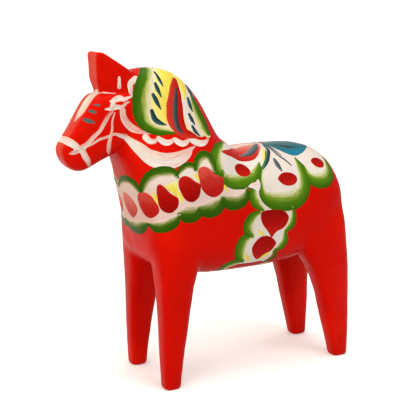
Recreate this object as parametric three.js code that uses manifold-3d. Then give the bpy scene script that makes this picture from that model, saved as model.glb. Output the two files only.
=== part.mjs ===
// A painted wooden Dala horse, 248 mm to the ear tips, as the glued-up and carved blank it is made from.
// Millimetres, +Z up. The horse looks along -X and its left side is -Y. The origin is on the table,
// under the middle of the object's box.
//
// The blank is three layers of pine, face to face: a thick middle layer for head, neck and trunk, and on
// each side a layer of three upright boards, so that the grain runs down the legs. Dowels hold the boards
// in line. Every board is the carved form cut by the planes of its own glue joints.
import * as THREE from "three";
import { ConvexGeometry } from "three/addons/geometries/ConvexGeometry.js";
import { mergeVertices } from "three/addons/utils/BufferGeometryUtils.js";
import Module from "manifold-3d";

// ---- driving dimensions -------------------------------------------------------------------------
const MIDDLE_LAYER = 34; // thickness of the middle layer
const MIDDLE_JOINT_X = 20; // where its front board meets its rear board
const SHOULDER_JOINT_X = -14; // shoulder board to flank board
const HAUNCH_JOINT_X = 57; // flank board to haunch board
const GLUE_GAP = 0.3; // what is left open between two faces that are glued
const DOWEL_RADIUS = 4;
const DOWEL_HOLE_RADIUS = DOWEL_RADIUS + GLUE_GAP;
const DOWEL_SIDES = 16;
const BEYOND = 400; // past the object in every direction
const MIDDLE_OF_LENGTH = -3.3; // x half way from muzzle to rump in the tables, moved to x = 0 at the end

const TRUNK_SIDES = 32; // points round one section of the trunk and the neck
const HEAD_SIDES = 28;
const LEG_SIDES = 20;

// ---- the carved form ----------------------------------------------------------------------------
// Trunk, chest to rump: x, belly z, back z, half width.
const TRUNK = [
  [-60.5, 104, 140, 24],
  [-58.5, 98, 150, 30],
  [-54, 92.5, 158, 34.5],
  [-46, 88, 165, 37.2],
  [-34, 84.5, 169, 38],
  [-14, 81.4, 172, 38.2],
  [10, 80.6, 173.2, 38],
  [36, 80.6, 173.4, 37.6],
  [58, 82.6, 173.4, 37.8],
  [76, 87, 172.6, 38],
  [88, 91, 169.6, 37.4],
  [96.2, 94, 164.2, 35.8],
  [102.2, 96, 156.6, 33],
  [106.4, 99, 146.4, 29],
  [108.9, 104, 137.4, 23],
];
const TRUNK_BACK_POWER = 2.3; // 2 is an ellipse, and more is squarer
const TRUNK_BELLY_POWER = 4;

// Neck, shoulder to poll: throat x, z, crest x, z, half width.
const NECK = [
  [-59.5, 100, 36, 146, 36],
  [-61.5, 112, 34, 154, 37.2],
  [-64.5, 125, 27, 164, 37.2],
  [-67, 138, 17, 175, 36],
  [-70.4, 151, 6.2, 182.4, 33.4],
  [-73.4, 163, -0.6, 193.8, 29],
  [-77, 173, -7.5, 207, 24.8],
  [-76, 181, -18.2, 221.6, 20.8],
  [-74, 188, -32.2, 232.2, 17.6],
  [-73, 196, -48.6, 235.6, 15.2],
  [-70, 204, -64, 235, 13],
];
const NECK_CREST_POWER = 2.2;
const NECK_THROAT_POWER = 3.2;

// Head, poll to muzzle: jaw x, z, forehead x, z, half width.
const HEAD = [
  [-57, 192, -68, 219.6, 14.4],
  [-66, 182, -88, 219.2, 16],
  [-74, 177, -95.4, 215.8, 16],
  [-82, 174, -100.8, 208.6, 14.8],
  [-90, 170.4, -105.6, 201.4, 13.2],
  [-98, 166.2, -111, 193.2, 11.8],
  [-104.5, 164.4, -115.8, 186.8, 10.8],
  [-110.6, 166, -118.8, 181, 9.6],
  [-114.8, 169.4, -118.2, 175.6, 7],
];
const HEAD_TOP_POWER = 4.5;
const HEAD_JAW_POWER = 3;

// The ears are one block with a flat top, that widens upwards and backwards: x, half width, z.
const EAR_BLOCK = [
  [-88, 5, 216],
  [-91.6, 8.2, 229],
  [-92.2, 9.2, 246],
  [-91, 9, 248],
  [-86.8, 9, 247.4],
  [-66, 10, 234.4],
  [-64, 12.8, 216],
];

// Legs, sole to trunk: z, front x, rear x, inner y, outer y, for the horse's right side.
const FORELEG = [
  [0, -52, -40.9, 24, 34.8],
  [1.2, -53, -39.9, 23, 35.8],
  [18, -53.9, -38, 22.4, 36.2],
  [38, -54.6, -35, 21, 36.7],
  [54, -54.9, -32.4, 19.4, 37.1],
  [67, -55.2, -30.2, 17.8, 37.5],
  [77, -55.6, -28.6, 16.2, 37.8],
  [86, -56.4, -25.6, 14.6, 37.9],
  [98, -57.6, -21, 12.4, 37.7],
  [112, -58.2, -18, 11, 37],
  [130, -56.6, -16, 12, 34],
];
const HIND_LEG = [
  [0, 99.2, 110.8, 24, 34.8],
  [1.2, 98.2, 111.8, 23, 35.8],
  [15, 94.6, 112.2, 22.4, 36.2],
  [32, 90, 112.2, 21.2, 36.7],
  [53, 85, 111.8, 19.4, 37.2],
  [67, 80.4, 111.4, 17.8, 37.6],
  [78, 75, 110.9, 16.2, 38],
  [88, 68.5, 110.4, 14.6, 37.9],
  [100, 64, 109.8, 12.6, 37.6],
  [114, 62, 108.6, 11, 36.6],
  [128, 63, 105.8, 11, 34.4],
  [144, 66, 100, 12, 29],
];
const LEG_POWER = 3.6;

// Dowels that cross the three layers: x, z, length along y.
const CROSS_DOWELS = {
  dowel_neck: [-36, 168, 46],
  dowel_shoulder: [-38, 120, 58],
  dowel_flank_front: [-3, 128, 58],
  dowel_flank_rear: [44, 128, 58],
  dowel_haunch_upper: [78, 148, 54],
  dowel_haunch_lower: [86, 112, 58],
};
// Dowels along x in the joint of the middle layer: z.
const EDGE_DOWELS = { dowel_trunk_upper: 150, dowel_trunk_lower: 106 };
const EDGE_DOWEL_LENGTH = 36;

// ---- materials ----------------------------------------------------------------------------------
const paint = () => new THREE.MeshStandardMaterial({ color: 0xd01608, roughness: 0.25, metalness: 0 });
const birch = () => new THREE.MeshStandardMaterial({ color: 0xc9a26c, roughness: 0.7, metalness: 0 });

// ---- solids -------------------------------------------------------------------------------------
const wasm = await Module();
wasm.setup();

/** A closed three.js geometry as a manifold-3d solid. */
function toSolid(geometry) {
  const bare = geometry.clone();
  bare.deleteAttribute("normal");
  bare.deleteAttribute("uv");
  const merged = mergeVertices(bare, 1e-4);
  return new wasm.Manifold(
    new wasm.Mesh({
      numProp: 3,
      vertProperties: new Float32Array(merged.attributes.position.array),
      triVerts: new Uint32Array(merged.index.array),
    }),
  );
}

/** A manifold-3d solid as a three.js geometry. */
function toGeometry(solid) {
  const mesh = solid.getMesh();
  const geometry = new THREE.BufferGeometry();
  geometry.setAttribute("position", new THREE.BufferAttribute(mesh.vertProperties, 3));
  geometry.setIndex(new THREE.BufferAttribute(mesh.triVerts, 1));
  geometry.computeVertexNormals();
  return geometry;
}

/** A ring of points: a superellipse about centre, with half axes up and across. */
function ring(centre, up, across, upperPower, lowerPower, sides) {
  const points = [];
  for (let i = 0; i < sides; i++) {
    const angle = (2 * Math.PI * i) / sides;
    const c = Math.cos(angle);
    const s = Math.sin(angle);
    const power = 2 / (s >= 0 ? upperPower : lowerPower);
    const a = Math.sign(c) * Math.abs(c) ** power;
    const u = Math.sign(s) * Math.abs(s) ** power;
    points.push(centre.clone().addScaledVector(across, a).addScaledVector(up, u));
  }
  return points;
}

/** The closed solid through a row of rings with the same number of points. */
function loft(rings) {
  const sides = rings[0].length;
  const last = rings.length - 1;
  const vertices = rings.flat();
  const triangles = [];
  for (let r = 0; r < last; r++) {
    for (let i = 0; i < sides; i++) {
      const j = (i + 1) % sides;
      const a = r * sides + i;
      const b = r * sides + j;
      triangles.push(a, b, a + sides, b, b + sides, a + sides);
    }
  }
  for (const [end, turn] of [[0, true], [last, false]]) {
    const middle = rings[end].reduce((sum, p) => sum.add(p), new THREE.Vector3()).divideScalar(sides);
    const centre = vertices.push(middle) - 1;
    for (let i = 0; i < sides; i++) {
      const a = end * sides + i;
      const b = end * sides + ((i + 1) % sides);
      triangles.push(centre, turn ? b : a, turn ? a : b);
    }
  }
  const geometry = new THREE.BufferGeometry().setFromPoints(vertices);
  geometry.setIndex(triangles);
  const solid = toSolid(geometry);
  if (solid.volume() >= 0) return solid;
  for (let i = 0; i < triangles.length; i += 3) {
    [triangles[i], triangles[i + 1]] = [triangles[i + 1], triangles[i]];
  }
  geometry.setIndex(triangles);
  return toSolid(geometry);
}

/** Rows of numbers, with steps smooth rows between each two. */
function smoothRows(rows, steps) {
  const columns = rows[0].map((_, k) => {
    const points = rows.map((row, i) => new THREE.Vector3(i, row[k], 0));
    return new THREE.CatmullRomCurve3(points, false, "catmullrom", 0.5);
  });
  const count = (rows.length - 1) * steps;
  return Array.from({ length: count + 1 }, (_, i) => columns.map((curve) => curve.getPoint(i / count).y));
}

function trunk() {
  const rings = smoothRows(TRUNK, 1).map(([x, low, high, half]) =>
    ring(
      new THREE.Vector3(x, 0, (low + high) / 2),
      new THREE.Vector3(0, 0, (high - low) / 2),
      new THREE.Vector3(0, half, 0),
      TRUNK_BACK_POWER,
      TRUNK_BELLY_POWER,
      TRUNK_SIDES,
    ),
  );
  return loft(rings);
}

/** A loft whose sections stand on edge: rows of low x, z, high x, z, half width. */
function upright(rows, steps, upperPower, lowerPower, sides) {
  const rings = smoothRows(rows, steps).map(([lowX, lowZ, highX, highZ, half]) =>
    ring(
      new THREE.Vector3((lowX + highX) / 2, 0, (lowZ + highZ) / 2),
      new THREE.Vector3((highX - lowX) / 2, 0, (highZ - lowZ) / 2),
      new THREE.Vector3(0, half, 0),
      upperPower,
      lowerPower,
      sides,
    ),
  );
  return loft(rings);
}

function ears() {
  const corners = EAR_BLOCK.flatMap(([x, half, z]) => [
    new THREE.Vector3(x, -half, z),
    new THREE.Vector3(x, half, z),
  ]);
  return toSolid(new ConvexGeometry(corners));
}

/** One leg. side is 1 for the horse's right and -1 for its left. */
function leg(rows, side) {
  const rings = smoothRows(rows, 1).map(([z, front, rear, inner, outer]) =>
    ring(
      new THREE.Vector3((front + rear) / 2, (side * (inner + outer)) / 2, z),
      new THREE.Vector3((rear - front) / 2, 0, 0),
      new THREE.Vector3(0, (outer - inner) / 2, 0),
      LEG_POWER,
      LEG_POWER,
      LEG_SIDES,
    ),
  );
  return loft(rings);
}

/** A box between two corners. */
function block(x0, y0, z0, x1, y1, z1) {
  const box = new THREE.BoxGeometry(x1 - x0, y1 - y0, z1 - z0);
  box.translate((x0 + x1) / 2, (y0 + y1) / 2, (z0 + z1) / 2);
  return toSolid(box);
}

/** A dowel, or the hole for it, lying along y, or along x if alongX. */
function dowel(x, y, z, radius, length, alongX = false) {
  const rod = new THREE.CylinderGeometry(radius, radius, length, DOWEL_SIDES);
  if (alongX) rod.rotateZ(Math.PI / 2);
  rod.translate(x, y, z);
  return rod;
}

// ---- the blank ----------------------------------------------------------------------------------
const form = [
  trunk(),
  upright(NECK, 2, NECK_CREST_POWER, NECK_THROAT_POWER, TRUNK_SIDES),
  upright(HEAD, 2, HEAD_TOP_POWER, HEAD_JAW_POWER, HEAD_SIDES),
  ears(),
  leg(FORELEG, 1),
  leg(FORELEG, -1),
  leg(HIND_LEG, 1),
  leg(HIND_LEG, -1),
].reduce((whole, piece) => whole.add(piece));

const rods = [
  ...Object.entries(CROSS_DOWELS).map(([name, [x, z, length]]) => ({ name, x, z, length, alongX: false })),
  ...Object.entries(EDGE_DOWELS).map(([name, z]) => ({
    name,
    x: MIDDLE_JOINT_X,
    z,
    length: EDGE_DOWEL_LENGTH,
    alongX: true,
  })),
];
const drilled = rods.reduce(
  (wood, { x, z, length, alongX }) =>
    wood.subtract(toSolid(dowel(x, 0, z, DOWEL_HOLE_RADIUS, length + 2 * GLUE_GAP, alongX))),
  form,
);

/** The part of the blank between two x planes and two y planes, less half the glue gap at each. */
function board(x0, x1, y0, y1) {
  const half = GLUE_GAP / 2;
  return drilled.intersect(block(x0 + half, y0 + half, -BEYOND, x1 - half, y1 - half, BEYOND));
}

const layer = MIDDLE_LAYER / 2;
const boards = {
  head_and_neck_board: board(-BEYOND, MIDDLE_JOINT_X, -layer, layer),
  back_board: board(MIDDLE_JOINT_X, BEYOND, -layer, layer),
};
for (const [side, y0, y1] of [["left", -BEYOND, -layer], ["right", layer, BEYOND]]) {
  boards[`${side}_shoulder_and_foreleg_board`] = board(-BEYOND, SHOULDER_JOINT_X, y0, y1);
  boards[`${side}_flank_board`] = board(SHOULDER_JOINT_X, HAUNCH_JOINT_X, y0, y1);
  boards[`${side}_haunch_and_hind_leg_board`] = board(HAUNCH_JOINT_X, BEYOND, y0, y1);
}

// ---- the object ---------------------------------------------------------------------------------
const horse = new THREE.Group();
for (const [name, solid] of Object.entries(boards)) {
  const mesh = new THREE.Mesh(toGeometry(solid), paint());
  mesh.name = name;
  horse.add(mesh);
}
for (const { name, x, z, length, alongX } of rods) {
  const mesh = new THREE.Mesh(dowel(0, 0, 0, DOWEL_RADIUS, length, alongX), birch());
  mesh.name = name;
  mesh.position.set(x, 0, z);
  horse.add(mesh);
}
horse.position.x = -MIDDLE_OF_LENGTH;

export default horse;
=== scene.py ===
"""Painted wooden horse: carved body, brushed ornament, studio. Sizes are in millimetres up to the studio."""
import math
import random

import bpy
import numpy as np
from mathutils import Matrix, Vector, noise
from mathutils.bvhtree import BVHTree
from mathutils.geometry import delaunay_2d_cdt


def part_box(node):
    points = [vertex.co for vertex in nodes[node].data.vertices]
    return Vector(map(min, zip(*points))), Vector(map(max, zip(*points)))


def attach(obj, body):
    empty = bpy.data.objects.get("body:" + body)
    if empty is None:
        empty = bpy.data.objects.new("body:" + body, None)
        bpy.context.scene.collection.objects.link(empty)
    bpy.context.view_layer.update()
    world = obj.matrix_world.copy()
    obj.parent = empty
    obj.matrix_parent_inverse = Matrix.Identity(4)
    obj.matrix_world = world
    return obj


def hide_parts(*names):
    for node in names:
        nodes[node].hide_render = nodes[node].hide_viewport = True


MM = 0.001
VOXEL = 0.9  # grain of the carved surface
JOINT_OVERLAP = 0.4  # how far a board's joint faces are pushed into its neighbour before the carving
BEYOND = 500  # past the object in every direction
EASING = 0.5  # how far one round of easing moves a point towards the middle of its neighbours
ROUNDS_ALL = 4  # rounds of easing everywhere, to take off the grain
ROUNDS_TRUNK = 84  # more rounds on the trunk, which the carver made round
TRUNK_Z = (84, 98)  # where those set in, going up from the legs
TRUNK_X = (-74, -58)  # and going back from the head
KNIFE_WAVES = ((17, 1.0), (6, 0.4))  # length and share of the unevenness that the knife leaves
KNIFE_DEPTH = 0.2
FEET_TOP = 10  # below this the unevenness fades out, so the feet stand flat
RNG = random.Random(11)

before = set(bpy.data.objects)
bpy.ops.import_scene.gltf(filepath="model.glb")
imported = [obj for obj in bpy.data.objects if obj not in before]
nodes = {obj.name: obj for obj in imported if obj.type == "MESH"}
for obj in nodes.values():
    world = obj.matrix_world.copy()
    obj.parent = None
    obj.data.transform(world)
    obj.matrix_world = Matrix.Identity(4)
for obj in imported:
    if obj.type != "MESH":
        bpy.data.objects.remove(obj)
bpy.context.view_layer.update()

HEAD_BOARD = "head_and_neck_board"
BACK_BOARD = "back_board"
BOARDS = [name for name in sorted(nodes) if name.endswith("_board")]
DOWELS = [name for name in sorted(nodes) if name.startswith("dowel_")]


# ---- joint planes -------------------------------------------------------------------------------
def middle_of_gap(first, second, axis):
    """Where the glue line between two boards lies on an axis, with first on its low side."""
    return (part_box(first)[1][axis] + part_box(second)[0][axis]) / 2 / MM


SIDE_PLANE = middle_of_gap(HEAD_BOARD, "right_shoulder_and_foreleg_board", 1)
SHOULDER_PLANE = middle_of_gap("left_shoulder_and_foreleg_board", "left_flank_board", 0)
HAUNCH_PLANE = middle_of_gap("left_flank_board", "left_haunch_and_hind_leg_board", 0)
MIDDLE_PLANE = middle_of_gap(HEAD_BOARD, BACK_BOARD, 0)
Z_RANGE = (-BEYOND, BEYOND)
CELLS = {
    HEAD_BOARD: ((-BEYOND, MIDDLE_PLANE), (-SIDE_PLANE, SIDE_PLANE), Z_RANGE),
    BACK_BOARD: ((MIDDLE_PLANE, BEYOND), (-SIDE_PLANE, SIDE_PLANE), Z_RANGE),
}
for side_name, y_range in (("left", (-BEYOND, -SIDE_PLANE)), ("right", (SIDE_PLANE, BEYOND))):
    CELLS[side_name + "_shoulder_and_foreleg_board"] = ((-BEYOND, SHOULDER_PLANE), y_range, Z_RANGE)
    CELLS[side_name + "_flank_board"] = ((SHOULDER_PLANE, HAUNCH_PLANE), y_range, Z_RANGE)
    CELLS[side_name + "_haunch_and_hind_leg_board"] = ((HAUNCH_PLANE, BEYOND), y_range, Z_RANGE)


# ---- the carved surface -------------------------------------------------------------------------
def vertices_of(mesh, key="co"):
    """The place, or the normal, of every vertex."""
    values = np.empty(len(mesh.vertices) * 3)
    mesh.vertices.foreach_get(key, values)
    return values.reshape(-1, 3)


def move_vertices(mesh, co):
    mesh.vertices.foreach_set("co", (co * MM).ravel())
    mesh.update()


def apply_modifiers(obj):
    shown = obj.evaluated_get(bpy.context.evaluated_depsgraph_get())
    mesh = bpy.data.meshes.new_from_object(shown)
    obj.modifiers.clear()
    obj.data = mesh


def link(obj):
    bpy.context.scene.collection.objects.link(obj)
    return obj


def blank_mesh():
    """All boards in one mesh, each reaching a little into the next, so no glue line is left open."""
    points, faces = [], []
    for name in BOARDS:
        mesh = nodes[name].data
        co = vertices_of(mesh) / MM
        centre = (co.min(0) + co.max(0)) / 2
        for axis in (0, 1):
            for plane in CELLS[name][axis]:
                near = np.abs(co[:, axis] - plane) < JOINT_OVERLAP
                co[near, axis] = plane + math.copysign(JOINT_OVERLAP, plane - centre[axis])
        faces += [tuple(i + len(points) for i in p.vertices) for p in mesh.polygons]
        points += [tuple(p) for p in co * MM]
    mesh = bpy.data.meshes.new("blank")
    mesh.from_pydata(points, [], faces)
    return mesh


def largest_part(obj):
    """The part with the most vertices. The walls of the dowel holes, which lie inside it, go."""
    bpy.ops.object.select_all(action="DESELECT")
    bpy.context.view_layer.objects.active = obj
    obj.select_set(True)
    bpy.ops.object.mode_set(mode="EDIT")
    bpy.ops.mesh.select_all(action="SELECT")
    bpy.ops.mesh.separate(type="LOOSE")
    bpy.ops.object.mode_set(mode="OBJECT")
    parts = sorted(bpy.context.selected_objects, key=lambda o: len(o.data.vertices))
    for other in parts[:-1]:
        bpy.data.objects.remove(other)
    return parts[-1]


def relax(co, edges, rounds, weight):
    """Moves each point towards the middle of its neighbours, as far as its weight says, in each round."""
    a, b = edges.T
    n = len(co)
    count = np.bincount(a, minlength=n) + np.bincount(b, minlength=n)
    for _ in range(rounds):
        mean = np.empty_like(co)
        for k in range(3):
            mean[:, k] = (np.bincount(a, co[b, k], n) + np.bincount(b, co[a, k], n)) / count
        co += (mean - co) * weight[:, None]
    return co


def ramp(x, low, high):
    return np.clip((x - low) / (high - low), 0, 1)


def carve():
    """One closed mesh of the whole horse: facets eased where the knife and sandpaper eased them."""
    body = link(bpy.data.objects.new("carved", blank_mesh()))
    modifier = body.modifiers.new("skin", "REMESH")
    modifier.mode = "VOXEL"
    modifier.voxel_size = VOXEL * MM
    apply_modifiers(body)
    body = largest_part(body)
    mesh = body.data
    co = vertices_of(mesh) / MM
    edges = np.empty(len(mesh.edges) * 2, int)
    mesh.edges.foreach_get("vertices", edges)
    edges = edges.reshape(-1, 2)
    floor = co[:, 2] < VOXEL
    weight = EASING * (ramp(co[:, 2], *TRUNK_Z) * ramp(co[:, 0], *TRUNK_X))
    co = relax(co, edges, ROUNDS_ALL, np.full(len(co), EASING))
    eased = relax(co.copy(), edges, ROUNDS_TRUNK, weight)
    taken_off = relax(co - eased, edges, ROUNDS_TRUNK, weight)
    co = eased + taken_off
    co[floor, 2] = np.maximum(co[floor, 2], 0)
    move_vertices(mesh, co)
    normals = vertices_of(mesh, "normal")
    wave = np.array([
        sum(share * noise.noise(Vector(p / length)) for length, share in KNIFE_WAVES) for p in co])
    depth = KNIFE_DEPTH * ramp(co[:, 2], 0, FEET_TOP)
    co += normals * (wave * depth)[:, None]
    move_vertices(mesh, co)
    return body


whole = carve()
whole_mesh = whole.data
whole_normals = vertices_of(whole_mesh, "normal")
whole_faces = [tuple(p.vertices) for p in whole_mesh.polygons]
whole_points = [Vector(v.co) for v in whole_mesh.vertices]
SURFACE = BVHTree.FromPolygons(whole_points, whole_faces)


def smooth_normal(point, face):
    """The normal of the carved surface at a point of one of its faces, blended from the face's corners."""
    total = Vector((0, 0, 0))
    for i in whole_faces[face]:
        total += Vector(whole_normals[i]) / ((whole_points[i] - point).length + 1e-6)
    return total.normalized()


# ---- materials ----------------------------------------------------------------------------------
COLOUR_A, COLOUR_B, COLOUR_OUT = 6, 7, 2  # sockets of a Mix node that mixes colours


def rgba(colour):
    return (*colour, 1)


class Nodes:
    """Short ways to build a node tree. A value is a number or tuple, or the socket it comes from."""

    def __init__(self, tree):
        self.tree = tree

    def find(self, kind):
        return next(n for n in self.tree.nodes if n.type == kind)

    def node(self, kind, inputs=None, **settings):
        made = self.tree.nodes.new("ShaderNode" + kind)
        for key, value in settings.items():
            setattr(made, key, value)
        for key, value in (inputs or {}).items():
            self.put(made.inputs[key], value)
        return made

    def put(self, socket, value):
        if isinstance(value, bpy.types.NodeSocket):
            self.tree.links.new(value, socket)
        else:
            socket.default_value = value

    def math(self, operation, a, b=0.0, c=0.0):
        return self.node("Math", {0: a, 1: b, 2: c}, operation=operation).outputs[0]

    def noise(self, vector, scale, detail=3.0, rough=0.5):
        values = {"Vector": vector, "Scale": scale, "Detail": detail, "Roughness": rough}
        return self.node("TexNoise", values).outputs["Fac"]

    def stretch(self, vector, scale):
        return self.node("Mapping", {"Vector": vector, "Scale": scale}).outputs[0]

    def mix(self, factor, a, b):
        made = self.node("Mix", {0: factor, COLOUR_A: a, COLOUR_B: b}, data_type="RGBA")
        return made.outputs[COLOUR_OUT]

    def as_seen(self, seen, thrown):
        """One colour where it is looked at straight, another for the light it throws on other things."""
        return self.mix(self.node("LightPath").outputs["Is Camera Ray"], thrown, rgba(seen))

    def ramp(self, factor, stops):
        """The colour at factor among stops of (position, colour)."""
        made = self.node("ValToRGB", {0: factor})
        elements = made.color_ramp.elements
        while len(elements) < len(stops):
            elements.new(0.5)
        for element, (position, colour) in zip(elements, stops):
            element.position = position
            element.color = rgba(colour)
        return made.outputs[0]

    def range(self, value, low, high, to_low, to_high):
        values = {0: value, 1: low, 2: high, 3: to_low, 4: to_high}
        return self.node("MapRange", values).outputs[0]

    def bump(self, height, strength, distance):
        values = {"Height": height, "Strength": strength, "Distance": distance * MM}
        return self.node("Bump", values).outputs[0]


class Shader(Nodes):
    """A new material and its surface node."""

    def __init__(self, name):
        self.material = bpy.data.materials.new(name)
        self.material.use_nodes = True
        super().__init__(self.material.node_tree)
        self.surface = self.find("BSDF_PRINCIPLED")

    def set(self, name, value):
        self.put(self.surface.inputs[name], value)


RED_GROUND = (0.55, 0.0038, 0.0008)
DEEP_RED = (0.40, 0.0015, 0.0005)
BRIGHT_RED = (0.64, 0.007, 0.0015)
# Deep varnished colour mirrors little but its own colour, except at a glancing angle.
RED_GLOSS = (1, 0.05, 0.02)
GREEN_GLOSS = (0.2, 0.5, 0.02)
BLUE_GLOSS = (0.1, 0.35, 0.45)
VARNISH_IOR = 1.3


def varnish(s, tint):
    s.set("IOR", VARNISH_IOR)
    s.set("Specular Tint", rgba(tint))


def ground_paint():
    """Red ground colour under varnish: brushed along the boards, with the odd dull patch and knock."""
    s = Shader("red_ground_colour")
    place = s.node("TexCoord").outputs["Object"]
    cloud = s.noise(place, 16, 4)
    upright = s.stretch(place, (260, 260, 34))
    brushed = s.noise(upright, 1, 4, 0.6)
    speck = s.noise(place, 700, 2)
    colour = s.ramp(cloud, [(0.32, (0.50, 0.004, 0.001)), (0.5, RED_GROUND), (0.7, BRIGHT_RED)])
    colour = s.mix(s.range(brushed, 0.5, 0.8, 0, 0.2), colour, rgba(DEEP_RED))
    colour = s.mix(s.range(speck, 0.70, 0.8, 0, 0.2), colour, rgba(DEEP_RED))
    s.set("Base Color", colour)
    rough = s.math("ADD", s.range(cloud, 0.3, 0.7, 0.26, 0.38), s.range(brushed, 0.3, 0.7, -0.03, 0.05))
    s.set("Roughness", rough)
    varnish(s, RED_GLOSS)
    s.set("Normal", s.bump(brushed, 0.3, 0.05))
    return s.material


def bare_wood(name, pale, dark, ring_scale):
    """Wood with growth rings running along Z."""
    s = Shader(name)
    place = s.node("TexCoord").outputs["Object"]
    wobble = s.noise(place, 30, 3)
    slant = s.stretch(place, (0.2, 0.2, 0.02))
    shifted = s.node("VectorMath", {0: place, 1: slant}, operation="ADD").outputs[0]
    rings = s.node("TexWave", {"Vector": shifted, "Scale": ring_scale, "Distortion": 3.0, "Detail": 3.0},
                   wave_type="RINGS", rings_direction="Z").outputs["Fac"]
    fibre = s.noise(s.stretch(place, (900, 900, 40)), 1, 3)
    colour = s.ramp(rings, [(0.2, pale), (0.9, dark)])
    colour = s.mix(s.range(fibre, 0.4, 0.8, 0, 0.35), colour, rgba(dark))
    colour = s.mix(s.range(wobble, 0.4, 0.8, 0, 0.2), colour, rgba(pale))
    s.set("Base Color", colour)
    s.set("Roughness", s.range(fibre, 0.3, 0.7, 0.55, 0.75))
    s.set("Normal", s.bump(fibre, 0.5, 0.08))
    return s.material


PAINT = {}


def brush_paint(name, stops, spread=0.3, dry=0.35, under=RED_GROUND, gloss=(0.8, 0.7, 0.6)):
    """Oil paint from a loaded brush: colour changes across the stroke, bristle marks run along it.

    brush is (mm along, mm across, number of the stroke); load is (0 to 1 across, 0 to 1 along, 0)."""
    s = Shader(name + "_paint")
    brush = s.node("Attribute", attribute_name="brush").outputs["Vector"]
    load = s.node("Attribute", attribute_name="load").outputs["Vector"]
    across, along, _ = s.node("SeparateXYZ", {0: load}).outputs
    bristle = s.noise(s.stretch(brush, (0.07, 1.9, 7.3)), 1, 3, 0.6)
    blot = s.noise(s.stretch(brush, (0.16, 0.35, 3.1)), 1, 2)
    fine = s.noise(s.stretch(brush, (0.2, 5.5, 5.7)), 1, 2)
    shift = s.math("MULTIPLY_ADD", s.math("SUBTRACT", bristle, 0.5), spread * 1.4, across)
    shift = s.math("MULTIPLY_ADD", s.math("SUBTRACT", blot, 0.5), spread, shift)
    colour = s.ramp(shift, stops)
    light = s.mix(s.range(fine, 0.35, 0.65, 0.0, 0.16), colour, rgba((0.02, 0.015, 0.01)))
    thin = s.math("MULTIPLY_ADD", s.math("SUBTRACT", bristle, 0.5), 3.0, s.range(along, 0.55, 1.0, 0.0, 0.5))
    colour = s.mix(s.range(thin, 0.05, 0.7, 0.0, dry), light, rgba(under))
    s.set("Base Color", colour)
    s.set("Roughness", s.range(bristle, 0.3, 0.7, 0.27, 0.42))
    varnish(s, gloss)
    s.set("Normal", s.bump(s.math("ADD", bristle, s.math("MULTIPLY", fine, 0.4)), 0.5, 0.09))
    PAINT[name] = s.material


WHITE = (0.73, 0.685, 0.62)
PINKISH = (0.77, 0.54, 0.47)
CREAM = (0.74, 0.66, 0.44)
YELLOW = (0.80, 0.67, 0.09)
LIME = (0.30, 0.35, 0.06)
GREEN = (0.050, 0.150, 0.003)
LEAF_GREEN = (0.075, 0.19, 0.006)
DARK_GREEN = (0.026, 0.095, 0.003)

brush_paint("white", [(0.1, (0.78, 0.58, 0.50)), (0.45, WHITE), (0.9, (0.80, 0.75, 0.67))], dry=0.7)
brush_paint("rose_white", [(0.2, (0.76, 0.40, 0.33)), (0.6, PINKISH), (0.95, (0.80, 0.66, 0.56))], dry=0.8)
brush_paint("ground_white", [(0.15, (0.68, 0.56, 0.50)), (0.5, (0.69, 0.62, 0.56)),
    (0.85, (0.72, 0.67, 0.61))], dry=0.45, under=(0.70, 0.54, 0.47))
brush_paint("green_to_white", [(0.05, DARK_GREEN), (0.22, GREEN), (0.46, LEAF_GREEN),
    (0.62, (0.20, 0.30, 0.03)), (0.78, (0.55, 0.54, 0.25)), (0.97, WHITE)], spread=0.24, dry=0.0,
    gloss=GREEN_GLOSS)
brush_paint("green_to_cream", [(0.1, DARK_GREEN), (0.5, GREEN), (0.64, LIME), (0.8, (0.62, 0.58, 0.28)),
    (0.97, CREAM)], spread=0.26, dry=0.0, gloss=GREEN_GLOSS)
brush_paint("garland_green", [(0.1, (0.020, 0.075, 0.002)), (0.5, (0.035, 0.11, 0.003)),
    (0.68, (0.20, 0.24, 0.05)), (0.93, (0.76, 0.60, 0.50))], spread=0.24, dry=0.0, gloss=GREEN_GLOSS)
brush_paint("cream", [(0.1, (0.74, 0.62, 0.36)), (0.5, CREAM), (0.9, WHITE)], dry=0.1, under=PINKISH)
brush_paint("rose_ground", [(0.1, (0.70, 0.46, 0.42)), (0.5, (0.71, 0.55, 0.50)),
    (0.9, (0.74, 0.66, 0.60))], dry=0.3, under=(0.70, 0.44, 0.40))
brush_paint("yellow", [(0.1, (0.76, 0.58, 0.05)), (0.6, YELLOW), (0.95, (0.80, 0.72, 0.30))], dry=0.2,
    under=CREAM)
brush_paint("blue_black", [(0.2, (0.006, 0.020, 0.024)), (0.6, (0.018, 0.05, 0.055)),
    (1, (0.05, 0.14, 0.16))], dry=0.15, under=(0.08, 0.2, 0.22), gloss=BLUE_GLOSS)
brush_paint("drop_red", [(0.1, (0.38, 0.004, 0.002)), (0.5, (0.46, 0.012, 0.004)),
    (0.9, (0.52, 0.035, 0.02))], dry=0.2, gloss=RED_GLOSS)
brush_paint("charcoal", [(0.1, (0.018, 0.018, 0.02)), (0.5, (0.045, 0.043, 0.047)),
    (0.9, (0.10, 0.085, 0.09))], dry=0.25, under=(0.20, 0.015, 0.008), gloss=BLUE_GLOSS)
brush_paint("petal_red", [(0.1, (0.28, 0.002, 0.001)), (0.5, (0.37, 0.003, 0.002)),
    (0.9, (0.46, 0.010, 0.006))], spread=0.5, dry=0.2, gloss=RED_GLOSS)
brush_paint("petal_mid_red", [(0.1, (0.42, 0.008, 0.006)), (0.5, (0.48, 0.020, 0.014)),
    (0.9, (0.60, 0.07, 0.05))], spread=0.6, dry=0.2, gloss=RED_GLOSS)
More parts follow.
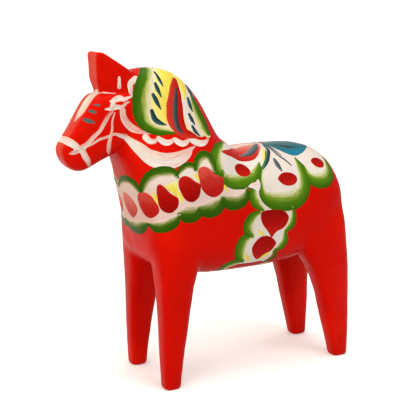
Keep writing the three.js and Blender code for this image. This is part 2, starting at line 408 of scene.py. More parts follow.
brush_paint("petal_rose", [(0.1, (0.46, 0.02, 0.015)), (0.5, (0.56, 0.06, 0.042)),
    (0.9, (0.68, 0.20, 0.15))], spread=0.6, dry=0.3, gloss=RED_GLOSS)
brush_paint("rose_to_red", [(0.1, (0.66, 0.24, 0.18)), (0.4, (0.58, 0.11, 0.08)),
    (0.7, (0.48, 0.02, 0.012)), (1, (0.42, 0.006, 0.003))], spread=0.2, dry=0.2, gloss=RED_GLOSS)
brush_paint("teal", [(0.1, (0.04, 0.14, 0.15)), (0.5, (0.015, 0.12, 0.15)), (0.9, (0.008, 0.17, 0.27))],
    dry=0.1, under=(0.10, 0.28, 0.30), gloss=BLUE_GLOSS)
brush_paint("slate", [(0.1, (0.03, 0.045, 0.055)), (0.6, (0.085, 0.11, 0.12)), (1, (0.22, 0.22, 0.23))],
    dry=0.2, under=(0.3, 0.25, 0.25), gloss=BLUE_GLOSS)
brush_paint("eye_teal", [(0.1, (0.03, 0.10, 0.11)), (0.6, (0.05, 0.14, 0.15)), (1, (0.16, 0.10, 0.08))],
    dry=0.5, gloss=BLUE_GLOSS)
brush_paint("olive", [(0.1, (0.05, 0.07, 0.004)), (0.6, (0.09, 0.09, 0.006)), (1, (0.30, 0.22, 0.05))],
    dry=0.3, gloss=GREEN_GLOSS)


# ---- brush strokes ------------------------------------------------------------------------------
LIFT_PER_LAYER = 0.05  # how much higher each layer of paint lies
EDGE_SINK = -0.05  # the rim of a stroke goes this far into the wood, so no edge stands off it
STROKE_STEP = 1.0  # between rows of points along a stroke
STROKE_STRIP = 1.3  # between points across it
EVEN_PART = 0.8  # of half the width: up to here the points are spread evenly
RIM_START = 0.92  # and from here on the stroke goes down into the wood
THIN = 2  # strokes below this width take fewer points across
THIN_RIM_START = 0.85
THINNEST = 0.2
TIP_ROWS = 5
TIP_START = 0.35  # of a row, so that the first row of a tip isn't a point
TIP_LENGTH = 0.42  # of the width there
SIDEWAYS = 0.35  # how far the right side's strokes stray from the left's
RAGGED = 0.05  # of the width, by which a stroke's sides waver
RAGGED_LENGTH = 5
OUTLINE_STEP = 1.6
OUTLINE_RIM = 0.45  # width of the sunk rim of a filled outline
PATCH_ALONG = 0.3  # how far along its stroke the paint of a filled outline is, which sets how dry it looks
GRID = 2.0  # between points inside an outline
GRID_CLEAR = 1.3  # they keep this far from the outline
GRID_SHAKE = 0.2
LONGEST_EDGE = 2.2  # of a triangle in a filled outline
HALVINGS = 4
MIRROR = {"left": 1, "right": -1}  # strokes are given for the left side, where Y is negative
PAST_OUTLINE = 4  # Y from which a point that misses the wood in side view looks for it


def touch(point):
    """The nearest point of the carved surface and the normal there, in millimetres."""
    found, _, face, _ = SURFACE.find_nearest(Vector(point) * MM)
    return found / MM, smooth_normal(found, face)


def cast(origin, direction):
    found, _, _, _ = SURFACE.ray_cast(Vector(origin) * MM, Vector(direction))
    return None if found is None else found / MM


def place(point, mirror):
    """A point given as (x, z) is looked at square from its side; (x, y, z) goes to the nearest wood."""
    if len(point) == 2:
        found = cast((point[0], -BEYOND * mirror, point[1]), (0, mirror, 0))
        if found is not None:
            return found
        point = (point[0], -PAST_OUTLINE, point[1])
    return touch((point[0], point[1] * mirror, point[2]))[0]


def spline(rows, step, closed=False):
    """Catmull-Rom rows through the given rows, about step apart by their first three numbers."""
    rows = [np.array(r, float) for r in rows]
    n = len(rows)
    out = []
    spans = n if closed else n - 1
    for i in range(spans):
        if closed:
            a, b, c, d = (rows[(i + k) % n] for k in (-1, 0, 1, 2))
        else:
            b, c = rows[i], rows[i + 1]
            a = rows[i - 1] if i else 2 * b - c
            d = rows[i + 2] if i + 2 < n else 2 * c - b
        count = max(2, math.ceil(np.linalg.norm((c - b)[:3]) / step))
        for k in range(count):
            t = k / count
            out.append(0.5 * (2 * b + (c - a) * t + (2 * a - 5 * b + 4 * c - d) * t * t
                              + (3 * b - a - 3 * c + d) * t ** 3))
    if not closed:
        out.append(rows[-1])
    return out


def follow_wood(rows, faces):
    """Halves long edges of a sheet, each new point on the wood, so that no triangle cuts into the wood."""
    for _ in range(HALVINGS):
        middle = {}
        for f in faces:
            for a, b in zip(f, f[1:] + f[:1]):
                key = (min(a, b), max(a, b))
                if key not in middle and np.linalg.norm(rows[a][:3] - rows[b][:3]) > LONGEST_EDGE:
                    halfway = (rows[a] + rows[b]) / 2
                    halfway[:3] = touch(halfway[:3])[0]
                    middle[key] = len(rows)
                    rows.append(halfway)
        if not middle:
            break
        cut = []
        for a, b, c in faces:
            ab, bc, ca = (middle.get((min(p, q), max(p, q))) for p, q in ((a, b), (b, c), (c, a)))
            while ab is None and (bc is not None or ca is not None):
                a, b, c, ab, bc, ca = b, c, a, bc, ca, ab
            if ab is None:
                cut.append([a, b, c])
            elif bc is not None and ca is not None:
                cut += [[a, ab, ca], [ab, b, bc], [bc, c, ca], [ab, bc, ca]]
            elif bc is not None:
                cut += [[ab, b, bc], [a, ab, bc], [a, bc, c]]
            elif ca is not None:
                cut += [[a, ab, ca], [ab, b, c], [ab, c, ca]]
            else:
                cut += [[a, ab, c], [ab, b, c]]
        faces = cut
    return rows, faces


class Brushwork:
    """A group of brush strokes as one thin mesh on the wood. Mirror is 1 at the left, -1 at the right."""

    def __init__(self, name, mirror):
        self.name = name
        self.mirror = mirror
        self.points = []
        self.faces = []
        self.brush = []
        self.load = []
        self.paints = []
        self.paint_of_face = []
        self.count = 0

    def start(self, paint):
        if paint not in self.paints:
            self.paints.append(paint)
        self.count += 1
        return len(self.points), self.paints.index(paint), self.count + RNG.random()

    def strokes(self, rows, paint, **more):
        for points, widths in rows:
            self.ribbon(points, widths, paint, **more)

    def ribbon(self, points, widths, paint, layer=1, edge="left"):
        """A stroke along points. The paint's first colour is on its edge side, seen while travelling.

        A row of the path is x, y, z and width."""
        jitter = 0.0 if self.mirror > 0 else SIDEWAYS
        rows = []
        for p, w in zip(points, widths):
            q = place(p, self.mirror)
            shake = [RNG.uniform(-jitter, jitter) for _ in range(3)]
            rows.append([q[0] + shake[0], q[1] + shake[1], q[2] + shake[2], w])
        path = spline(rows, STROKE_STEP)
        path = [np.array([*touch(p[:3])[0], max(p[3], THINNEST)]) for p in path]
        path, tips = self.round_ends(path)
        widest = max(p[3] for p in path)
        inner = max(1, round(widest / STROKE_STRIP))
        even = [-EVEN_PART + 2 * EVEN_PART * k / inner for k in range(inner + 1)]
        us = [-1, -RIM_START, *even, RIM_START, 1]
        if widest < THIN:
            us = [-1, -THIN_RIM_START, 0, THIN_RIM_START, 1]
        first, slot, number = self.start(paint)
        flip = (edge == "left") == (self.mirror > 0)
        length = 0
        total = sum(np.linalg.norm(b[:3] - a[:3]) for a, b in zip(path, path[1:])) or 1
        for i, p in enumerate(path):
            if i:
                length += np.linalg.norm(p[:3] - path[i - 1][:3])
            here, normal = touch(p[:3])
            after, before = path[min(i + 1, len(path) - 1)], path[max(i - 1, 0)]
            tangent = Vector(after[:3] - before[:3]).normalized()
            aside = normal.cross(tangent).normalized()
            ragged = 1 + RAGGED * noise.noise(Vector((length / RAGGED_LENGTH, number * 7, 0)))
            for u in us:
                out, out_normal = touch(here + aside * (u * p[3] / 2 * ragged))
                rise = EDGE_SINK if abs(u) == 1 else LIFT_PER_LAYER * layer
                self.points.append((out + out_normal * rise) * MM)
                share = (1 - u) / 2 if flip else (1 + u) / 2
                share += (1 - share) * tips[i]
                self.brush.append((length, u * widest / 2 * (1 if flip else -1), number))
                self.load.append((share, length / total, 0))
        across = len(us)
        for i in range(len(path) - 1):
            for j in range(across - 1):
                a = first + i * across + j
                self.faces.append((a, a + across, a + across + 1, a + 1))
                self.paint_of_face.append(slot)

    @staticmethod
    def round_ends(path):
        """The path with a rounded cap at each end, and how near each of its rows is to a tip, 0 to 1."""
        begin, end = path[0], path[-1]
        head = (path[0] - path[1])[:3]
        head /= np.linalg.norm(head) or 1
        tail = (path[-1] - path[-2])[:3]
        tail /= np.linalg.norm(tail) or 1
        front, back, near = [], [], []
        for k in range(TIP_ROWS):
            angle = math.pi / 2 * (k + TIP_START) / TIP_ROWS
            reach, share = math.cos(angle), math.sin(angle)
            front.append(np.array([*(begin[:3] + head * begin[3] * TIP_LENGTH * reach), begin[3] * share]))
            back.append(np.array([*(end[:3] + tail * end[3] * TIP_LENGTH * reach), end[3] * share]))
            near.append(reach ** 2)
        return front + path + back[::-1], near + [0] * len(path) + near[::-1]

    def patch(self, outline, chart, paint, layer=1, grain=0.0):
        """Paint filling an outline. grain is the angle, in degrees, at which the brush went over it."""
        corners = [chart.flat(place(p, self.mirror)) for p in outline]
        edge = spline([(*c, 0) for c in corners], OUTLINE_STEP, closed=True)
        edge = np.array([e[:2] for e in edge])
        area = 0.5 * np.sum(edge[:, 0] * np.roll(edge[:, 1], -1) - np.roll(edge[:, 0], -1) * edge[:, 1])
        if area < 0:
            edge = edge[::-1]
        ahead = np.roll(edge, -1, 0) - np.roll(edge, 1, 0)
        inward = np.stack([-ahead[:, 1], ahead[:, 0]], 1) / (np.linalg.norm(ahead, axis=1)[:, None] + 1e-9)
        inner = edge + inward * OUTLINE_RIM
        low, high = edge.min(0), edge.max(0)
        grid = []
        for u in np.arange(low[0], high[0], GRID):
            for v in np.arange(low[1], high[1], GRID):
                if inside((u, v), edge) and np.min(np.hypot(*(edge - (u, v)).T)) > GRID_CLEAR:
                    grid.append([at + RNG.uniform(-GRID_SHAKE, GRID_SHAKE) for at in (u, v)])
        flat = [Vector(p) for p in edge] + [Vector(p) for p in inner] + [Vector(p) for p in grid]
        n = len(edge)
        loop = [(i, (i + 1) % n) for i in range(n)]
        points, _, faces, origins, _, _ = delaunay_2d_cdt(flat, loop, [], 1, 1e-5)
        faces = [list(f) for f in faces]
        first, slot, number = self.start(paint)
        turn = math.radians(grain)
        height = high[1] - low[1]
        rows = []
        for p, origin in zip(points, origins):
            rise = EDGE_SINK if origin and min(origin) < n else LIFT_PER_LAYER * layer
            along = p[0] * math.cos(turn) + p[1] * math.sin(turn)
            across = p[1] * math.cos(turn) - p[0] * math.sin(turn)
            rows.append(np.array([*chart.solid(p)[0], rise, along, across, (p[1] - low[1]) / height]))
        rows, faces = follow_wood(rows, faces)
        for row in rows:
            found, normal = touch(row[:3])
            self.points.append((found + normal * row[3]) * MM)
            self.brush.append((row[4], row[5], number))
            self.load.append((row[6], PATCH_ALONG, 0))
        for f in faces:
            corner = [first + i for i in f]
            a, b, c = (Vector(self.points[i]) for i in corner)
            facing = (b - a).cross(c - a)
            middle = (a + b + c) / 3
            if facing.dot(touch(middle / MM)[1]) < 0:
                corner.reverse()
            self.faces.append(tuple(corner))
            self.paint_of_face.append(slot)

    def build(self):
        mesh = bpy.data.meshes.new(self.name)
        mesh.from_pydata([tuple(p) for p in self.points], [], self.faces)
        for paint in self.paints:
            mesh.materials.append(PAINT[paint])
        mesh.polygons.foreach_set("material_index", self.paint_of_face)
        mesh.polygons.foreach_set("use_smooth", [True] * len(self.faces))
        for key, values in (("brush", self.brush), ("load", self.load)):
            attribute = mesh.attributes.new(key, "FLOAT_VECTOR", "POINT")
            attribute.data.foreach_set("vector", np.array(values, np.float32).ravel())
        mesh.update()
        obj = link(bpy.data.objects.new(self.name, mesh))
        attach(obj, "root")
        return obj


def inside(point, outline):
    x, y = point
    a, b = outline, np.roll(outline, -1, 0)
    crossing = (a[:, 1] > y) != (b[:, 1] > y)
    with np.errstate(divide="ignore", invalid="ignore"):
        at = a[:, 0] + (y - a[:, 1]) / (b[:, 1] - a[:, 1]) * (b[:, 0] - a[:, 0])
    return np.count_nonzero(crossing & (x < at)) % 2 == 1


class Chart:
    """A flat map of the wood on one side. Flat takes a point to the map, and solid takes it back."""

    def __init__(self, side):
        self.mirror = MIRROR[side]


class SideChart(Chart):
    """Side view: x, z."""

    def flat(self, p):
        return p[0], p[2]

    def solid(self, uv):
        return touch(place((uv[0], uv[1]), self.mirror))


class RoundChart(Chart):
    """Unrolled from the axis of the trunk: x, and the way round it."""

    HEIGHT = 130
    RADIUS = 42
    HALF_WIDTH = 38
    HALF_HEIGHT = 44

    def flat(self, p):
        return p[0], self.RADIUS * math.atan2(-p[1] * self.mirror, p[2] - self.HEIGHT)

    def solid(self, uv):
        angle = uv[1] / self.RADIUS
        away = (0, -math.sin(angle) * self.mirror, math.cos(angle))
        found = cast((uv[0], 0, self.HEIGHT), away)
        if found is None:
            found = (uv[0], away[1] * self.HALF_WIDTH, self.HEIGHT + away[2] * self.HALF_HEIGHT)
        return touch(found)


class ChestChart(Chart):
    """Unrolled from an upright axis inside the shoulders: the way round it, and z."""

    MIDDLE = -28
    RADIUS = 38

    def flat(self, p):
        return self.RADIUS * math.atan2(-p[1] * self.mirror, -(p[0] - self.MIDDLE)), p[2]

    def solid(self, uv):
        angle = uv[0] / self.RADIUS
        away = (-math.cos(angle), -math.sin(angle) * self.mirror, 0)
        guess = (self.MIDDLE + away[0] * self.RADIUS, away[1] * self.RADIUS, uv[1])
        return touch(cast((self.MIDDLE, 0, uv[1]), away) or guess)


works = []


def work(name, side=None):
    """A new group of brush strokes, on one side of the horse or in its middle."""
    made = Brushwork(f"{side}_{name}" if side else name, MIRROR.get(side, 1))
    works.append(made)
    return made


def paint_blaze():
    work("forehead_blaze").ribbon([(-87, 0, 219.5), (-92, -2, 215), (-96.5, -2.5, 209.5), (-99.5, -2, 205),
        (-103, -1, 200.5)], [9, 11.5, 11, 9, 2], "white")


def paint_head(side):
    """Bridle, brow knot, a painted highlight under the ear, eye, and the straps and scallops round the neck.
    """
    bridle = work("bridle_straps", side)
    bridle.ribbon([(-112, 0, 188), (-111, -8, 187), (-108, -11, 185), (-105, -11, 182), (-102, -12, 180),
        (-100, -12, 176), (-98, -11, 173), (-96, -9, 169)], [5, 5.6, 5.2, 4.8, 4.4, 4.4, 4, 2.6], "white")
    bridle.strokes([
        ([(-103, 182), (-106.5, 181), (-110, 180)], [3, 2, 0.6]),
        ([(-102, 181), (-99.5, 183.5), (-98, 186)], [3, 2, 0.6]),
    ], "white")
    bridle.strokes([
        ([(-111, 179), (-109, 179), (-106, 180)], [1, 2, 3]),
        ([(-104, 183), (-99, 185), (-94, 190), (-90, 194), (-87, 199), (-84, 204), (-81, 207)],
         [2, 3.2, 3, 2.8, 3, 2.8, 2]),
        ([(-99, 183), (-95, 185), (-90, 188), (-86, 189), (-80, 191), (-74, 190), (-70, 189)],
         [1, 1.7, 2, 1.8, 1.9, 2.4, 3]),
        ([(-79, 206), (-81, 200), (-81, 195), (-82, 190), (-83, 185), (-83, 180), (-82, 177)],
         [1, 1.4, 1.8, 2.4, 3, 3.2, 2]),
    ], "rose_white")

    work("brow_knot_and_ear_highlight", side).strokes([
        ([(-82, 214), (-78, 215), (-74, 216), (-71, 215), (-67, 216), (-64, 217)], [1, 4, 5, 3.5, 2, 1]),
        ([(-86, 209), (-82, 209), (-78, 210), (-73, 210), (-70, 212), (-67, 213)], [1, 3, 3.5, 2.5, 2, 1]),
        ([(-79, 214), (-80, 212), (-81, 210)], [3, 4, 3.5]),
        # painted highlight: this thin white line along the foot of the ear stands for the light that the
        # ear's ledge catches
        ([(-87, 219), (-82, 219.5), (-76, 219)], [1, 1.6, 1.2]),
        ([(-73, 230), (-73, 223)], [2, 2.9]),
        ([(-60, 229), (-63, 227), (-65, 225), (-65, 222), (-65, 219), (-64, 217)],
         [4, 4.5, 4, 3.5, 2.5, 1]),
    ], "white")

    work("eye", side).strokes([
        ([(-93, 212), (-90, 212)], [1, 2]),
        ([(-96, 208), (-93, 207)], [2, 2.4]),
        ([(-100, 202), (-97, 201), (-94, 200)], [2.6, 3.4, 2]),
    ], "eye_teal")

    work("neck_strap", side).strokes([
        ([(-74, 209), (-73, 202), (-70.5, 197.5), (-66, 193.5), (-61, 191.8), (-54, 190.8)],
         [2.6, 3.2, 3.2, 3.2, 3, 1.5]),
        ([(-71.5, 208), (-71, 203), (-68.5, 199), (-64.5, 195.5), (-60, 192.8)], [2, 2.4, 2.4, 2.2, 1]),
    ], "rose_white")

    work("neck_crescent", side).ribbon([(-77, 190), (-71, 188), (-66, 183.5), (-62, 179.5), (-58, 175.5),
        (-52.4, 172.5), (-45, 171), (-37, 172.4), (-30, 175.5), (-26, 178.5), (-22.7, 180)],
        [1.2, 3.5, 7, 9, 10.5, 12, 12.5, 10.5, 7.5, 3, 1], "white")

    work("collar_scallops", side).strokes([
        ([(-58, 188.3), (-55.5, 185.4), (-52, 185.3), (-50, 187)], [5, 4.5, 3.5, 2]),
        ([(-49.3, 187.4), (-47, 185.3), (-43.7, 183.8), (-40, 184.6), (-38, 186.2)], [3, 4.5, 4.5, 3.5, 2]),
        ([(-37.5, 186), (-35, 183.8), (-31.7, 182.5), (-28.5, 183.6), (-26.7, 185.3)],
         [3, 4.5, 4.5, 3.5, 2]),
        ([(-26, 185.3), (-22.5, 183.5), (-18, 181.8), (-13.3, 182), (-9.5, 184)], [3, 5, 5, 4, 1.5]),
    ], "white")


def paint_mane(side):
    flat = SideChart(side)
    ground = work("mane_ground", side)
    ground.patch([(-46, 0, 235), (-54, 226), (-59, 215), (-59, 204), (-54, 196), (-46, 192), (-36, 189.5),
        (-24, 187), (-13, 186), (-12, 191), (-14, 200), (-15, 208), (-15, -8, 215), (-22, -2, 225),
        (-32, 0, 232)], flat, "cream", grain=70)
    ground.ribbon([(-24, -3, 225), (-22, 217), (-22.5, 210.8), (-22.5, 204.5), (-22, 199.3), (-20, 193.2),
        (-16.6, 188)], [6, 10, 10.5, 10, 9, 7, 3], "ground_white", layer=2)
    yolk = work("mane_yellow", side)
    yolk.ribbon([(-36, -4, 232), (-40.5, 222), (-44.5, 212), (-45, 204), (-43, 197.5)],
        [15, 16.5, 14, 9.5, 4], "yellow", layer=2)
    yolk.ribbon([(-27.5, -6, 228.5), (-25.3, -10, 223.5), (-24.6, -13.5, 218), (-25.2, 213)],
        [6, 8, 6, 1.5], "yellow", layer=3)
    border = work("mane_border", side)
    border.ribbon([(-47, 0, 235), (-52, 230), (-56.5, 221), (-58.3, 210), (-57.8, 201), (-54.5, 195.5),
        (-48.5, 192.5), (-42, 191.5), (-36, 190.5)], [8, 12, 13.5, 14, 12, 9.5, 7.5, 5, 2],
        "green_to_cream", layer=3, edge="right")
    border.ribbon([(-18.5, -11.5, 214.5), (-17, -15, 208), (-15, -18, 200.5), (-12.8, -19.5, 194.5),
        (-10.8, -21.5, 190), (-9.2, -22.5, 187)], [4, 10, 12, 12, 11, 7], "green_to_cream", layer=3,
        edge="left")
    drop = work("mane_drop", side)
    drop.ribbon([(-29.8, -10, 226), (-31.3, 221.5), (-32.3, 216.5), (-33.4, 211.5), (-34.2, 206),
        (-34.6, 200.4), (-33, 194.6), (-29.7, 190), (-23.6, 187.7), (-19, 186)],
        [4.5, 8.5, 10.8, 12.8, 13.8, 13.8, 12, 8.5, 5, 1.5], "drop_red", layer=4)
    drop.ribbon([(-30.8, 221), (-32, 215.5), (-33.4, 209), (-34.4, 203), (-34.5, 197.5), (-33.5, 193),
        (-31, 190)], [2, 3.5, 4.3, 4.6, 4.3, 4, 2], "charcoal", layer=5)
    work("mane_dashes", side).strokes([
        ([(-44.5, 232.5), (-42.5, 227), (-40.8, 222.8)], [1.8, 2.6, 0.8]),
        ([(-46.6, 225), (-45.5, 221), (-43.5, 215.5)], [2.4, 3.2, 1]),
        ([(-49.5, 217.5), (-47.5, 213), (-44.7, 207)], [2.6, 3.6, 1]),
        ([(-51.5, 206.3), (-50, 200.7), (-46.8, 197.8), (-42.3, 196)], [3, 4.2, 3.6, 0.8]),
        ([(-19.5, -8.5, 221), (-17.5, -11, 217), (-15.5, -13, 212)], [2.8, 4.6, 2]),
        ([(-21.5, 213.3), (-20.8, 208.5), (-19.6, 204)], [2.4, 3.2, 1]),
        ([(-23, 202.3), (-21.5, 198.6), (-19.6, 195)], [2.4, 3.2, 1]),
        ([(-22, 194), (-20, 190), (-17, 186.8)], [2.2, 3, 1]),
    ], "blue_black", layer=5)


def paint_garland(side):
    """The band of petals over the shoulder, from the chest to the saddle cloth."""
    flat = SideChart(side)
    chest = ChestChart(side)
    work("garland_ground", side).patch([(-67, 0, 151), (-66, -14, 153), (-63.5, -22, 150), (-60, -27, 157),
        (-52, 162), (-44, 162), (-39, 161), (-32, 166.5), (-26, 165.5), (-21, 170.5), (-13, 170.5),
        (-8, 161), (0, 157), (14, 152), (18, 144), (8, 138), (-2, 140), (-10, 136), (-20, 136), (-30, 134),
        (-40, 132), (-46, 129), (-54, -31, 127.5), (-58, -22, 124), (-60, -10, 122), (-60.5, 0, 122)],
        chest, "rose_ground", grain=15)
    garland = work("garland_scallops", side)
    garland.strokes([
        ([(-62, -23, 149), (-61.5, -25, 155), (-59, -27.5, 160), (-54, 163), (-48, 164), (-42, 163),
         (-39, 159.5)], [4, 7, 8, 8.5, 8.5, 7, 3]),
        ([(-39.5, 160.5), (-36, 164.5), (-31.5, 167), (-27, 166.5), (-23.5, 163)], [2, 4.5, 5.5, 5.5, 3]),
        ([(-24.5, 164), (-22, 170), (-17.5, 173), (-13, 172), (-10.5, 167), (-9.5, 162)],
         [4, 7, 8, 8, 7, 2]),
    ], "garland_green", layer=2)
    garland.strokes([
        ([(-57.5, -23, 126), (-55, -29, 124.5), (-51.5, -33, 125), (-47.5, -36, 126.5), (-43, 129),
         (-40, 132)], [3, 8, 9.5, 10, 9, 4]),
        ([(-40, 134), (-35.5, 133), (-30, 133), (-25, 134.5), (-23, 137)], [3.5, 12, 13.5, 12, 5]),
        ([(-24, 136), (-18, 134.8), (-12, 135.2), (-7.5, 137.5), (-4, 141.5)], [5, 12, 13.5, 12, 5]),
        ([(-4.5, 142.5), (0, 139), (5, 137.5), (11, 138.2), (15.5, 141.2), (17.5, 146)],
         [4, 11, 12, 11.5, 9, 3]),
    ], "garland_green", layer=2, edge="right")
    buds = work("garland_yellow", side)
    buds.patch([(-49, 154), (-41, 157), (-39, 156), (-39.5, 147), (-41, 145), (-44, 149)], flat, "yellow",
        layer=3, grain=60)
    buds.strokes([
        ([(-56, 148.5), (-54.6, 145), (-53.5, 141)], [2, 3.5, 1.5]),
        ([(-39, 149), (-37.6, 145), (-36.5, 142)], [2, 3.6, 2]),
        ([(-25.5, 160), (-23.5, 157)], [3.5, 3]),
        ([(-2, 150), (1, 146)], [3, 2]),
    ], "yellow", layer=3)
    petals = work("garland_petals", side)
    petals.patch([(-64, -20, 148), (-61, -25, 149.5), (-58, -28, 147.5), (-55.5, -30, 144), (-53, 140),
        (-52.5, 135.5), (-55, -29, 131.5), (-57.5, -25, 130), (-60, -21, 132.5), (-62, -18.5, 138),
        (-63.5, -18, 144)], chest, "petal_mid_red", layer=4, grain=-50)
    petals.patch([(-54, 154), (-51.5, 155.5), (-48, 152.5), (-44.5, 148.5), (-39.5, 145), (-39.5, 139.5),
        (-42.5, 136), (-46, 134.5), (-50, 135.5), (-52.5, 139), (-54, 146)], chest, "petal_red", layer=5,
        grain=-55)
    petals.patch([(-38, 158.5), (-34, 160.5), (-29.5, 159), (-26, 156), (-22, 153.5), (-22, 148),
        (-24, 143.5), (-29, 141), (-34, 143), (-37.5, 149), (-39, 154)], chest, "petal_red", layer=5,
        grain=-40)
    petals.patch([(-23, 164), (-18, 166), (-13.5, 164), (-10, 160.5), (-5.5, 158), (-2, 156), (-2, 150),
        (-4.5, 145.5), (-10, 143), (-16, 144.5), (-21, 149.5), (-23, 157)], chest, "petal_mid_red", layer=5,
        grain=-45)


def paint_saddle(side):
    """Saddle cloth of three lobes, with a rose and a teal petal meeting at the ridge of the back."""
    trunk = RoundChart(side)
    lobes = work("saddle_ground", side)
    lobes.patch([(12, -12, 177), (4, -18, 177), (-3, -27, 174), (-6, 170), (-6, 163), (-2, 159), (1, 155),
        (8, 151.5), (18, 151.5), (26, 154), (32, 158), (36, 159), (42, 167), (49, -8, 173), (49, 0, 173.5),
        (30, 0, 174), (20, -4, 175)], trunk, "ground_white", grain=20)
    lobes.patch([(48, -6, 173), (42, 167), (35, 161), (31, 156), (30, 148), (31, 140), (37, 134), (45, 130),
        (55, 129.5), (64, 131.5), (69, 138), (71, 146), (71, 155), (70, 162), (65, -20, 168), (60, -8, 173),
        (56, 0, 173)], trunk, "ground_white", grain=70)
    lobes.patch([(54, 0, 173), (58, -14, 171), (64, 166), (69, 160), (71.5, 149), (77, 145), (86, 143),
        (94, 146), (97, 151), (97.5, -26, 158), (96, -18, 163), (92, -8, 167), (88, 0, 169), (72, 0, 173)],
        trunk, "ground_white", grain=40)
    work("saddle_lobes", side).strokes([
        ([(8, -15, 178), (1.5, -22, 177), (-4, -26.5, 173.5), (-6.5, 168.5), (-5.5, 163), (-2, 159)],
         [1.5, 7, 10.5, 12.5, 12, 6]),
        ([(-2, 161), (-1, 157), (3.8, 153.6), (11, 152.2), (19, 152.7), (25, 155), (30, 159), (33, 163)],
         [4, 9, 11.5, 13, 13.5, 12, 8, 2.5]),
        ([(46, -16, 171), (40, 164), (34.5, 159), (31.5, 154), (30.7, 148), (31.5, 141), (37, 137),
         (44.5, 134.7), (53, 134.2), (60.5, 135.3), (65.3, 139), (68, 145), (68.3, 151.5), (67.3, 158),
         (66, 164)], [1, 2, 2.5, 3, 4.5, 8, 13, 16, 17, 16.5, 14, 12, 10.5, 8, 2]),
        ([(71, 159), (72.5, 153), (75.8, 149), (81, 147.2), (87.3, 147.2), (92.3, 149.8), (94.8, 153.8),
         (95.5, -27, 158.5), (95, -20, 163)], [2, 6, 10, 13, 14, 13, 10, 7, 2]),
    ], "green_to_white", layer=2, edge="right")
    sweeps = work("saddle_petals", side)
    sweeps.patch([(0, -26, 174), (6, -26.5, 170.5), (13, -25, 167.5), (21, -25, 165), (29, -24.5, 165),
        (35, -21.5, 167), (41, -15.5, 170.5), (46, -8, 173), (47, -2, 173.5), (38, -3, 173.5),
        (28, -6, 174), (18, -14, 174), (10, -21, 174.5)], trunk, "rose_to_red", layer=3, grain=10)
    sweeps.ribbon([(45.5, -2, 173.5), (40.5, -9, 172.5), (35, -14.5, 171), (28.5, -18.5, 169),
        (20.5, -20, 168)], [2, 5, 6.5, 5, 1.5], "slate", layer=4)
    sweeps.patch([(50, -2, 173.5), (52, -10, 172), (58, -19, 168.5), (66, -24, 165.5), (74, -22.5, 166),
        (82, -17, 168), (87, -10, 168.5), (85, -3, 169.5), (76, 0, 172), (62, 0, 173)], trunk, "teal",
        layer=3, grain=10)
    sweeps.ribbon([(53, -5, 173), (59, -10, 172), (67, -14.5, 170.5), (77, -16, 169.5)], [1, 3.6, 4.8, 1],
        "blue_black", layer=4)
    sweeps.ribbon([(59, -3, 173), (68, -6, 172.5), (77, -10.5, 170.5)], [1, 2.2, 0.8], "blue_black",
        layer=4)
    seeds = work("saddle_dots", side)
    seeds.patch([(11, 163), (16, 164), (20.5, 162.5), (23.5, 159), (23, 156), (18, 154.5), (13, 156),
        (10.5, 159.5)], trunk, "petal_red", layer=4, grain=20)
    seeds.patch([(46, 152), (51, 155), (58, 154.5), (62.5, 151.5), (61.5, 147), (56, 145), (50.5, 146),
        (46.5, 149)], trunk, "petal_red", layer=4, grain=-20)
    seeds.patch([(79, 161), (83, 163), (88.5, 162), (91.5, 159), (90, 156), (86, 155.5), (81, 157.5)],
        trunk, "petal_red", layer=4, grain=-20)
    veins = work("saddle_veins", side)
    veins.strokes([
        ([(48.5, -8, 173), (47.8, -16, 170.5), (45, -21, 168), (40.5, -26.5, 163.5), (35, -29.5, 158.5)],
         [1.2, 2.6, 3.2, 2.6, 0.8]),
        ([(49.5, -4, 173.2), (50.5, -13, 171.5), (52.5, -22, 168), (56.5, -26, 163.5), (60.5, -29, 158.8)],
         [0.8, 1.3, 1.5, 1.4, 0.7]),
        ([(51, -8, 173), (53, -17, 169.5), (55.5, -22.5, 166)], [0.8, 1.2, 0.7]),
    ], "blue_black", layer=5)
    veins.strokes([
        ([(47.7, -25, 164.5), (48.6, -28.5, 160.5), (50.5, -31, 156)], [2.6, 4.2, 1.2]),
    ], "slate", layer=4)
    veins.strokes([
        ([(44, -14, 171.2), (41, -21, 167.5), (37, -26, 163)], [1.5, 2.2, 1]),
    ], "yellow", layer=4)


